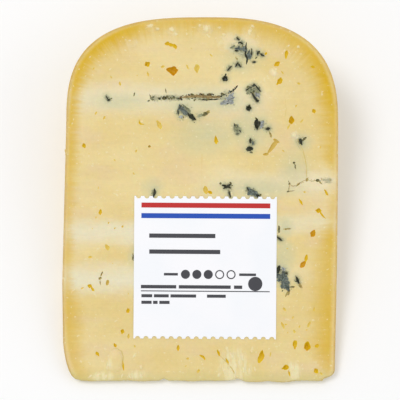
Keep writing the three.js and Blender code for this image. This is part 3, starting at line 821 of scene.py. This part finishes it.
def cheesePaint():
    paint = Paint("cheese_paste")
    tone = {name: linear(*colour) for name, colour in cheese["tones"].items()}
    here = paint.wheelPlace()
    across = paint.vector("DOT_PRODUCT", here, (1, 0, 0), out="Value")
    fromAxis = paint.vector("LENGTH", paint.vector("MULTIPLY", here, (0, 1, 1)), (0, 0, 0), out="Value")
    out = fromAxis - wheel["tipRadius"]
    rindPlace = paint.attribute("nearestRind", "Vector")
    depth = paint.vector("DISTANCE", here, rindPlace, out="Value")
    underUpper = 0 - paint.vector("DOT_PRODUCT", here, upperNormal, out="Value")
    aboveLower = paint.vector("DOT_PRODUCT", here, (0, 0, 1), out="Value")
    below = paint.math("MINIMUM", underUpper, aboveLower)  # how far inside the nearer cut face

    # Cream paste, warmer and cooler in slow level drifts, with a fine curdy mottle
    levelled = paint.vector("MULTIPLY", here, (0.45, 1, 1))
    drift = paint.noise(levelled, 14, 3)
    warm = paint.noise(paint.vector("ADD", levelled, (40, 7, 3)), 8, 2)
    curd = paint.noise(here, 1.3, 3, 0.6)
    colour = paint.mix(paint.step(drift, 0.38, 0.64), tone["cream"], tone["deepCream"])
    colour = paint.mix(paint.step(warm, 0.48, 0.72) * 0.6, colour, tone["duskyCream"])

    # Bands and patches of pale curd, then what the mould tints round it, all frayed by noise
    fray = paint.noise(levelled, 5, 5, 0.62)
    crumb = paint.noise(here, 1.5, 4, 0.7)
    band = 0
    fadeLong = cheese["bandFade"]
    for middle, half, strength, left, right in cheese["bands"]:
        off = (out - middle + (fray - 0.5) * 6) * (1 / half)
        fromLeft = paint.step(across, left - fadeLong, left + fadeLong)
        ends = fromLeft * paint.step(across, right - fadeLong, right + fadeLong, 1, 0)
        band = band + strength * ends * paint.step(paint.math("MAXIMUM", off, off * -1), 0, 1.5, 1, 0)
    colour = paint.mix(band * (0.45 + drift * 0.7), colour, tone["paleBand"])
    pale = paint.attribute("pale", "Fac")
    patch = paint.step(pale + (crumb - 0.5) * 1.3, 0.25, 0.75)
    colour = paint.mix(patch * 0.42 + pale * 0.1, colour, tone["paleCurd"])
    green = paint.attribute("green", "Fac") * (0.2 + fray * 1.4)
    colour = paint.mix(green * 0.66, colour, tone["greenCast"])
    halo = paint.attribute("halo", "Fac")
    colour = paint.mix(paint.step(halo + (crumb - 0.5) * 0.5, 0.1, 1.1) * 0.5, colour, tone["halo"])
    grit = paint.noise(here, 0.8, 4, 0.75)
    stain = paint.step(paint.attribute("stain", "Fac") + (grit - 0.5) * 1.9, 0.2, 0.95)
    colour = paint.mix(stain * 0.7, colour, tone["stain"])
    fringe = paint.step(paint.attribute("fringe", "Fac") + (crumb - 0.5) * 0.8, 0.2, 1)
    colour = paint.mix(fringe * 0.8, colour, tone["fringe"])
    fleck = paint.step(grit + halo * 0.3, 0.76, 0.86) * paint.step(halo, 0.15, 0.5)
    colour = paint.mix(fleck * 0.5, colour, tone["fleck"])

    # Deep yellow under the rind, strongest a little way in and fading slowly towards the middle
    zone = paint.attribute("rindZone", "Vector")
    zoneDepth = paint.vector("DOT_PRODUCT", zone, (1, 0, 0), out="Value")
    zoneStrength = paint.vector("DOT_PRODUCT", zone, (0, 1, 0), out="Value")
    zoneInset = paint.vector("DOT_PRODUCT", zone, (0, 0, 1), out="Value")
    inwards = paint.vector("ADD", rindPlace, paint.vector("MULTIPLY", here, (0.12, 0.12, 0.12)))
    streak = paint.noise(inwards, 1.3, 3, 0.6)
    run = depth - zoneInset + (streak - 0.5) * 4.4 + (fray - 0.5) * 3
    fade = run * paint.math("DIVIDE", 1, zoneDepth - zoneInset)
    start = paint.step(depth + (streak - 0.5) * 0.7 - zoneInset, -1.3, 0.5, 0.3, 1)
    gold = paint.step(fade, 0, 1, 1, 0) * start * zoneStrength * (0.86 + warm * 0.28)
    colour = paint.mix(gold, colour, tone["underRind"])

    # The rind itself: dry and beige, with blotches, a pale bloom, pores and faint lines round the wheel
    onRind = paint.step(depth + (streak - 0.5) * 0.5, 0.1, 0.8, 1, 0)
    blotch = paint.noise(here, 9, 4, 0.6)
    bloom = paint.noise(here, 3.4, 5, 0.65)
    hoops = paint.noise(paint.vector("MULTIPLY", here, (1, 0.06, 0.06)), 0.8, 2)
    pores = paint.step(paint.noise(here, 0.9, 2, 0.5), 0.3, 0.22)
    rind = paint.mix(paint.step(blotch, 0.35, 0.65), tone["rind"], tone["rindBlotch"])
    rind = paint.mix(paint.step(bloom, 0.5, 0.68) * 0.6, rind, tone["rindBloom"])
    rind = paint.mix(paint.step(bloom, 0.42, 0.3) * 0.4, rind, tone["rindShade"])
    rind = paint.mix(pores * 0.5, rind, tone["rindPore"])
    rind = paint.scale(rind, 0.93 + hoops * 0.14)
    brim = paint.step(below, 0.2, 1.8, 1, 0) * zoneStrength
    rind = paint.mix(brim * 0.75, rind, tone["rindBrim"])
    colour = paint.mix(onRind * 0.8, colour, rind)

    # The thin tip is a little greener, torn places show pale streaks, specks of curd lie all over, and
    # flakes are pale and grainy. The torn patch and flake on the tongue's lower left edge and the flake
    # inside the crescent eye are painted highlights
    tip = 1 - paint.step(out + (fray - 0.5) * 4, 0.3, 5)
    colour = paint.mix(tip * 0.5, colour, tone["tip"])
    combed = paint.noise(paint.vector("MULTIPLY", here, (1, 0.16, 0.16)), 1.1, 3, 0.6)
    torn = paint.attribute("torn", "Fac")
    combs = paint.step(combed + torn * 0.2, 0.5, 0.8) * paint.step(torn, 0, 0.6)
    colour = paint.mix(torn * 0.3 + combs * 0.55, colour, tone["torn"])
    dust = paint.step(paint.noise(paint.vector("ADD", here, (3, 90, 1)), 1.1, 2, 0.4), 0.66, 0.74)
    colour = paint.mix(dust * 0.5, colour, tone["dust"])
    flakedAndHighlit = paint.attribute("flake", "Fac")
    flakedAndHighlit = paint.step(flakedAndHighlit + (grit - 0.5) * 2.2, 0.3, 0.9) * paint.step(flakedAndHighlit, 0, 0.3)
    colour = paint.mix(flakedAndHighlit * 0.76, colour, tone["flake"])
    wire = paint.noise(paint.vector("MULTIPLY", here, (0.06, 1, 1)), 0.7, 2)  # level lines that the wire left
    colour = paint.scale(colour, 0.91 + curd * 0.12 + wire * 0.06)

    # The walls of the eyes, with painted shade of deeper gold where they go down under the face, and of the
    # crevices, dark at the rim and furry grey within
    mask = paint.attribute("wallMask", "Fac")
    wall = paint.attribute("wallColour", "Color")
    inside = paint.step(below, 0.2, 1.4)
    mouldy = paint.step(mask, 1.4, 1.6)
    # Painted shade: eye walls darken to a deeper gold the further they lie under the face
    wall = paint.mix(inside * 0.35 * (1 - mouldy), wall, tone["eyeFloor"])
    fur = paint.noise(here, 0.75, 4, 0.7)
    wall = paint.mix(mouldy * paint.step(fur + inside * 0.1, 0.46, 0.68) * 0.5, wall, paint.scale(wall, 1.9))
    wall = paint.mix(mouldy * paint.step(fur, 0.54, 0.34) * 0.6, wall, paint.scale(wall, 0.4))
    colour = paint.mix(paint.step(mask, 0.4, 0.6), colour, wall)

    height = curd * 0.08 + paint.noise(here, 3.2, 2) * 0.1 + combs * 0.12 + patch * 0.08 + fur * mouldy * 0.15
    height = height + wire * 0.04 + flakedAndHighlit * 0.05
    height = height + onRind * (bloom * 0.3 + hoops * 0.1 - pores * 0.15)
    return paint.finish({
        "Base Color": colour,
        "Roughness": 0.4 + paint.noise(here, 2.5, 2) * 0.2 + onRind * 0.14,
        "Normal": paint.bump(height, wheel["mm"]),
        "Subsurface Weight": 0.3,
        "Subsurface Radius": (1, 0.65, 0.3),
        "Subsurface Scale": 0.0014,
        "Specular IOR Level": 0.4,
    })


# Takes away the edges too short to see, the points in line and the loose crumbs that the cuts leave
def tidyCuts(bm):
    for _ in range(3):  # each round can leave a little for the next
        bmesh.ops.dissolve_degenerate(bm, dist=cheese["shortestEdge"] * wheel["mm"], edges=bm.edges)
        inLine = [point for point in bm.verts if len(point.link_edges) == 2]
        bmesh.ops.dissolve_verts(bm, verts=inLine)
    unseen = set(bm.faces)
    bits = []
    while unseen:
        bit = [unseen.pop()]
        for face in bit:  # the list grows until no neighbour is left
            near = {other for edge in face.edges for other in edge.link_faces} & unseen
            unseen -= near
            bit += near
        bits.append(bit)
    bits.sort(key=len)
    crumbs = [face for bit in bits[:-1] for face in bit]
    bmesh.ops.delete(bm, geom=crumbs, context="FACES")
    bmesh.ops.delete(bm, geom=[edge for edge in bm.edges if not edge.link_faces], context="EDGES")
    bmesh.ops.delete(bm, geom=[point for point in bm.verts if not point.link_faces], context="VERTS")
    bmesh.ops.holes_fill(bm, edges=[edge for edge in bm.edges if edge.is_boundary], sides=0)
    print("tidied cuts,", len(crumbs), "faces of crumbs taken off")


def makeCheese():
    bm = wedgeBody()
    rind = rindTree(bm)
    addColourLayers(bm)
    body = newPiece("cheese_wedge", bm, cheesePaint())
    print("wedge body", len(body.data.polygons), "faces")
    hollows, lowerMould = cheeseLumps()
    join(body, hollows, "DIFFERENCE")
    raised = {"tongue": [tongue], "flake": flakesAndHighlights, "sliver": slivers, "fold": fold}
    lumps = [(one, looks[name], upperFace) for name, group in raised.items() for one in group]
    join(body, lumps, "UNION")
    tintPoints(body.data, rind, lowerMould)
    bm = bmesh.new()
    bm.from_mesh(body.data)
    put(bm)
    tidyCuts(bm)
    bm.to_mesh(body.data)
    bm.free()
    body.data.shade_smooth()
    body.data.set_sharp_from_angle(angle=math.radians(cheese["sharpFrom"]))
    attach(body, "root")
    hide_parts("cheese")
    print("cheese done,", len(body.data.vertices), "points")


label = {
    "side": 50,
    "middle": (1.9, 39.8),
    "turn": -0.4,
    "thick": 0.1,
    "lift": 0.16,
    "scallops": 17,
    "scallopRadius": 0.88,
    "inkThick": 0.02,
    "roundSteps": 40,
    "scallopSteps": 28,
    "paper": (250, 250, 253),
    "paperShade": (246, 248, 252),
    "red": (192, 28, 26),
    "blue": (8, 74, 180),
    "ink": (62, 62, 68),
    # Print, as across and up from the label's middle, then long and high, or a disc's radius
    "stripes": {"red": (0.1, 21.8, 45.2, 1.75), "blue": (0.1, 18.1, 45.2, 1.75)},
    "bars": [
        (-8.1, 11.1, 23.2, 1.5), (-7.2, 5.5, 24.9, 1.5), (-12, -2.4, 4.9, 0.9), (14.9, -2.4, 5.9, 0.9),
        (-16.3, -6.8, 12.4, 1.2), (-0.1, -6.8, 18.2, 1.2), (11.6, -6.8, 2.9, 1.2), (0.1, -8.3, 45.2, 0.35),
        (-20.4, -10, 3.8, 1.1), (-15.3, -10, 5.2, 1.1), (-7.6, -10, 9, 1.1), (4, -10, 6.6, 1.1),
        (-20.5, -12.3, 3.6, 1.1), (-17.4, -12.3, 1.6, 1.1), (-14.2, -12.3, 3.6, 1.1),
    ],
    "dots": {"first": -6.9, "up": -2.4, "pitch": 4, "filled": 3, "open": 2, "radius": 1.6, "line": 0.42},
    "seal": (17.6, -5.6, 2.5),
}


def paperPaint():
    paint = Paint("label_paper")
    here = paint.wheelPlace()
    fibre = paint.noise(here, 0.5, 3, 0.7)
    cast = paint.noise(here, 18, 2)
    colour = paint.mix(paint.step(cast, 0.4, 0.7), linear(*label["paper"]), linear(*label["paperShade"]))
    colour = paint.scale(colour, 0.98 + fibre * 0.03)
    return paint.finish({
        "Base Color": colour,
        "Roughness": 0.5 + fibre * 0.15,
        "Normal": paint.bump(fibre * 0.02, wheel["mm"]),
    })


def inkPaint(name):
    paint = Paint("label_" + name)
    here = paint.wheelPlace()
    cover = paint.noise(here, 0.6, 3, 0.7)
    colour = paint.scale(linear(*label[name])[:3], 0.94 + cover * 0.12)
    return paint.finish({"Base Color": colour, "Roughness": 0.42 + cover * 0.12})


def tint(verts, slot):
    for made in {face for vert in verts for face in vert.link_faces}:
        made.material_index = slot


def addPlate(bm, middle, size, slot):
    verts = bmesh.ops.create_cube(bm, size=1)["verts"]
    bmesh.ops.scale(bm, verts=verts, vec=size)
    bmesh.ops.translate(bm, verts=verts, vec=middle)
    tint(verts, slot)


def addCylinder(bm, middle, radius, depth, segments):
    verts = bmesh.ops.create_cone(
        bm, cap_ends=True, segments=segments, radius1=radius, radius2=radius, depth=depth)["verts"]
    bmesh.ops.translate(bm, verts=verts, vec=middle)
    return verts


def addDisc(bm, middle, radius, slot):
    tint(addCylinder(bm, middle, radius, label["inkThick"], label["roundSteps"]), slot)


def addRing(bm, middle, radius, line, slot):
    inner = bmesh.ops.create_circle(bm, segments=label["roundSteps"], radius=radius - line)
    edges = list({edge for vert in inner["verts"] for edge in vert.link_edges})
    grown = bmesh.ops.extrude_edge_only(bm, edges=edges)["geom"]
    outer = [item for item in grown if isinstance(item, bmesh.types.BMVert)]
    bmesh.ops.scale(bm, verts=outer, vec=(radius / (radius - line),) * 3)
    faces = [item for item in grown if isinstance(item, bmesh.types.BMFace)]
    bmesh.ops.recalc_face_normals(bm, faces=faces)
    if faces[0].normal.z < 0:
        bmesh.ops.reverse_faces(bm, faces=faces)
    raised = bmesh.ops.extrude_face_region(bm, geom=faces, use_keep_orig=True)["geom"]
    lifted = [item for item in raised if isinstance(item, bmesh.types.BMVert)]
    bmesh.ops.translate(bm, verts=lifted, vec=(0, 0, label["inkThick"]))
    ring = inner["verts"] + outer + lifted
    bmesh.ops.translate(bm, verts=ring, vec=Vector(middle) - Vector((0, 0, label["inkThick"] / 2)))
    around = list({face for vert in ring for face in vert.link_faces})
    bmesh.ops.recalc_face_normals(bm, faces=around)
    tint(ring, slot)


# The paper, with scallops punched out of its upper and lower edges
def labelSheet(*materials):
    side, pitch = label["side"], label["side"] / label["scallops"]
    bm = bmesh.new()
    addPlate(bm, (0, 0, 0), (side, side, label["thick"]), 0)
    sheet = newPiece("label_sheet", bm, *materials)
    bm = bmesh.new()
    for step in range(label["scallops"]):
        for edge in (-side / 2, side / 2):
            middle = ((step + 0.5) * pitch - side / 2, edge, 0)
            addCylinder(bm, middle, label["scallopRadius"], 1, label["scallopSteps"])
    punches = newPiece("punches", bm)
    cut = sheet.modifiers.new("scallops", "BOOLEAN")
    cut.operation = "DIFFERENCE"
    cut.solver = "MANIFOLD"
    cut.object = punches
    mesh = bpy.data.meshes.new_from_object(sheet.evaluated_get(bpy.context.evaluated_depsgraph_get()))
    sheet.modifiers.clear()
    sheet.data = mesh
    bpy.data.objects.remove(punches)
    return sheet


def makeLabel():
    inks = ("red", "blue", "ink")
    slots = {name: slot for slot, name in enumerate(inks, start=1)}
    sheet = labelSheet(paperPaint(), *(inkPaint(name) for name in inks))
    bm = bmesh.new()
    bm.from_mesh(sheet.data)
    top, thick = label["thick"] / 2, label["inkThick"]
    for name, (across, up, long, high) in label["stripes"].items():
        addPlate(bm, (across, up, top), (long, high, thick), slots[name])
    for across, up, long, high in label["bars"]:
        addPlate(bm, (across, up, top), (long, high, thick), slots["ink"])
    dots = label["dots"]
    for index in range(dots["filled"] + dots["open"]):
        middle = (dots["first"] + index * dots["pitch"], dots["up"], top)
        if index < dots["filled"]:
            addDisc(bm, middle, dots["radius"], slots["ink"])
        else:
            addRing(bm, middle, dots["radius"], dots["line"], slots["ink"])
    sealAcross, sealUp, sealRadius = label["seal"]
    addDisc(bm, (sealAcross, sealUp, top + thick / 2), sealRadius, slots["ink"])
    place = onFace(upperFace, label["middle"], label["turn"], label["lift"] + label["thick"] / 2)
    bmesh.ops.transform(bm, matrix=place, verts=bm.verts)
    put(bm)
    bm.to_mesh(sheet.data)
    bm.free()
    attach(sheet, "root")
    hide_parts("label")
    print("label done")


studio = {
    "lens": 120,
    "sensor": 36,
    "floorSize": 4,
    "floor": (250, 250, 250),
    "sky": 0.73,
    "lights": [
        {"place": (-0.75, 0.35, 1.5), "power": 8.7, "size": 0.7},
        {"place": (1.3, -0.1, 0.8), "power": 2.6, "size": 1.2},
    ],
}


def makeFloor():
    bm = bmesh.new()
    bmesh.ops.create_grid(bm, x_segments=1, y_segments=1, size=studio["floorSize"] / 2)
    paint = Paint("studio_floor")
    floor = newPiece("floor", bm, paint.finish({"Base Color": linear(*studio["floor"]), "Roughness": 0.9}))
    print("floor laid")


def makeLights():
    world = bpy.data.worlds.new("studio")
    world.use_nodes = True
    world.node_tree.nodes["Background"].inputs["Color"].default_value = (1, 1, 1, 1)
    world.node_tree.nodes["Background"].inputs["Strength"].default_value = studio["sky"]
    bpy.context.scene.world = world
    for one in studio["lights"]:
        lamp = bpy.data.lights.new("softbox", "AREA")
        lamp.energy = one["power"]
        lamp.size = one["size"]
        box = bpy.data.objects.new("softbox", lamp)
        box.location = one["place"]
        box.rotation_euler = (-Vector(one["place"])).to_track_quat("-Z", "Y").to_euler()
        bpy.context.collection.objects.link(box)
    print("lights placed")


# The camera looks square on to the upper cut face
def makeCamera():
    lens = bpy.data.cameras.new("camera")
    lens.lens = studio["lens"]
    lens.sensor_width = studio["sensor"]
    camera = bpy.data.objects.new("camera", lens)
    bpy.context.collection.objects.link(camera)
    seen = photo["width"] * photo["mmPerPixel"]
    middle = photo["width"] / 2
    across = (middle - photo["middleColumn"]) * photo["mmPerPixel"]
    out = (photo["tipRow"] - middle) * photo["mmPerPixel"]
    away = seen * studio["lens"] / studio["sensor"]
    place = Matrix.Translation(axisPlace) @ onFace(upperFace, (across, out), 0, away)
    camera.location = place.translation * wheel["mm"]
    camera.rotation_euler = (upperFace, 0, 0)
    bpy.context.scene.camera = camera
    print("camera placed")


makeCamera()
makeLights()
makeFloor()
makeCheese()
makeLabel()
# The plain view shows a colour as it is given above, with no film curve over it
bpy.context.scene.view_settings.view_transform = "Standard"
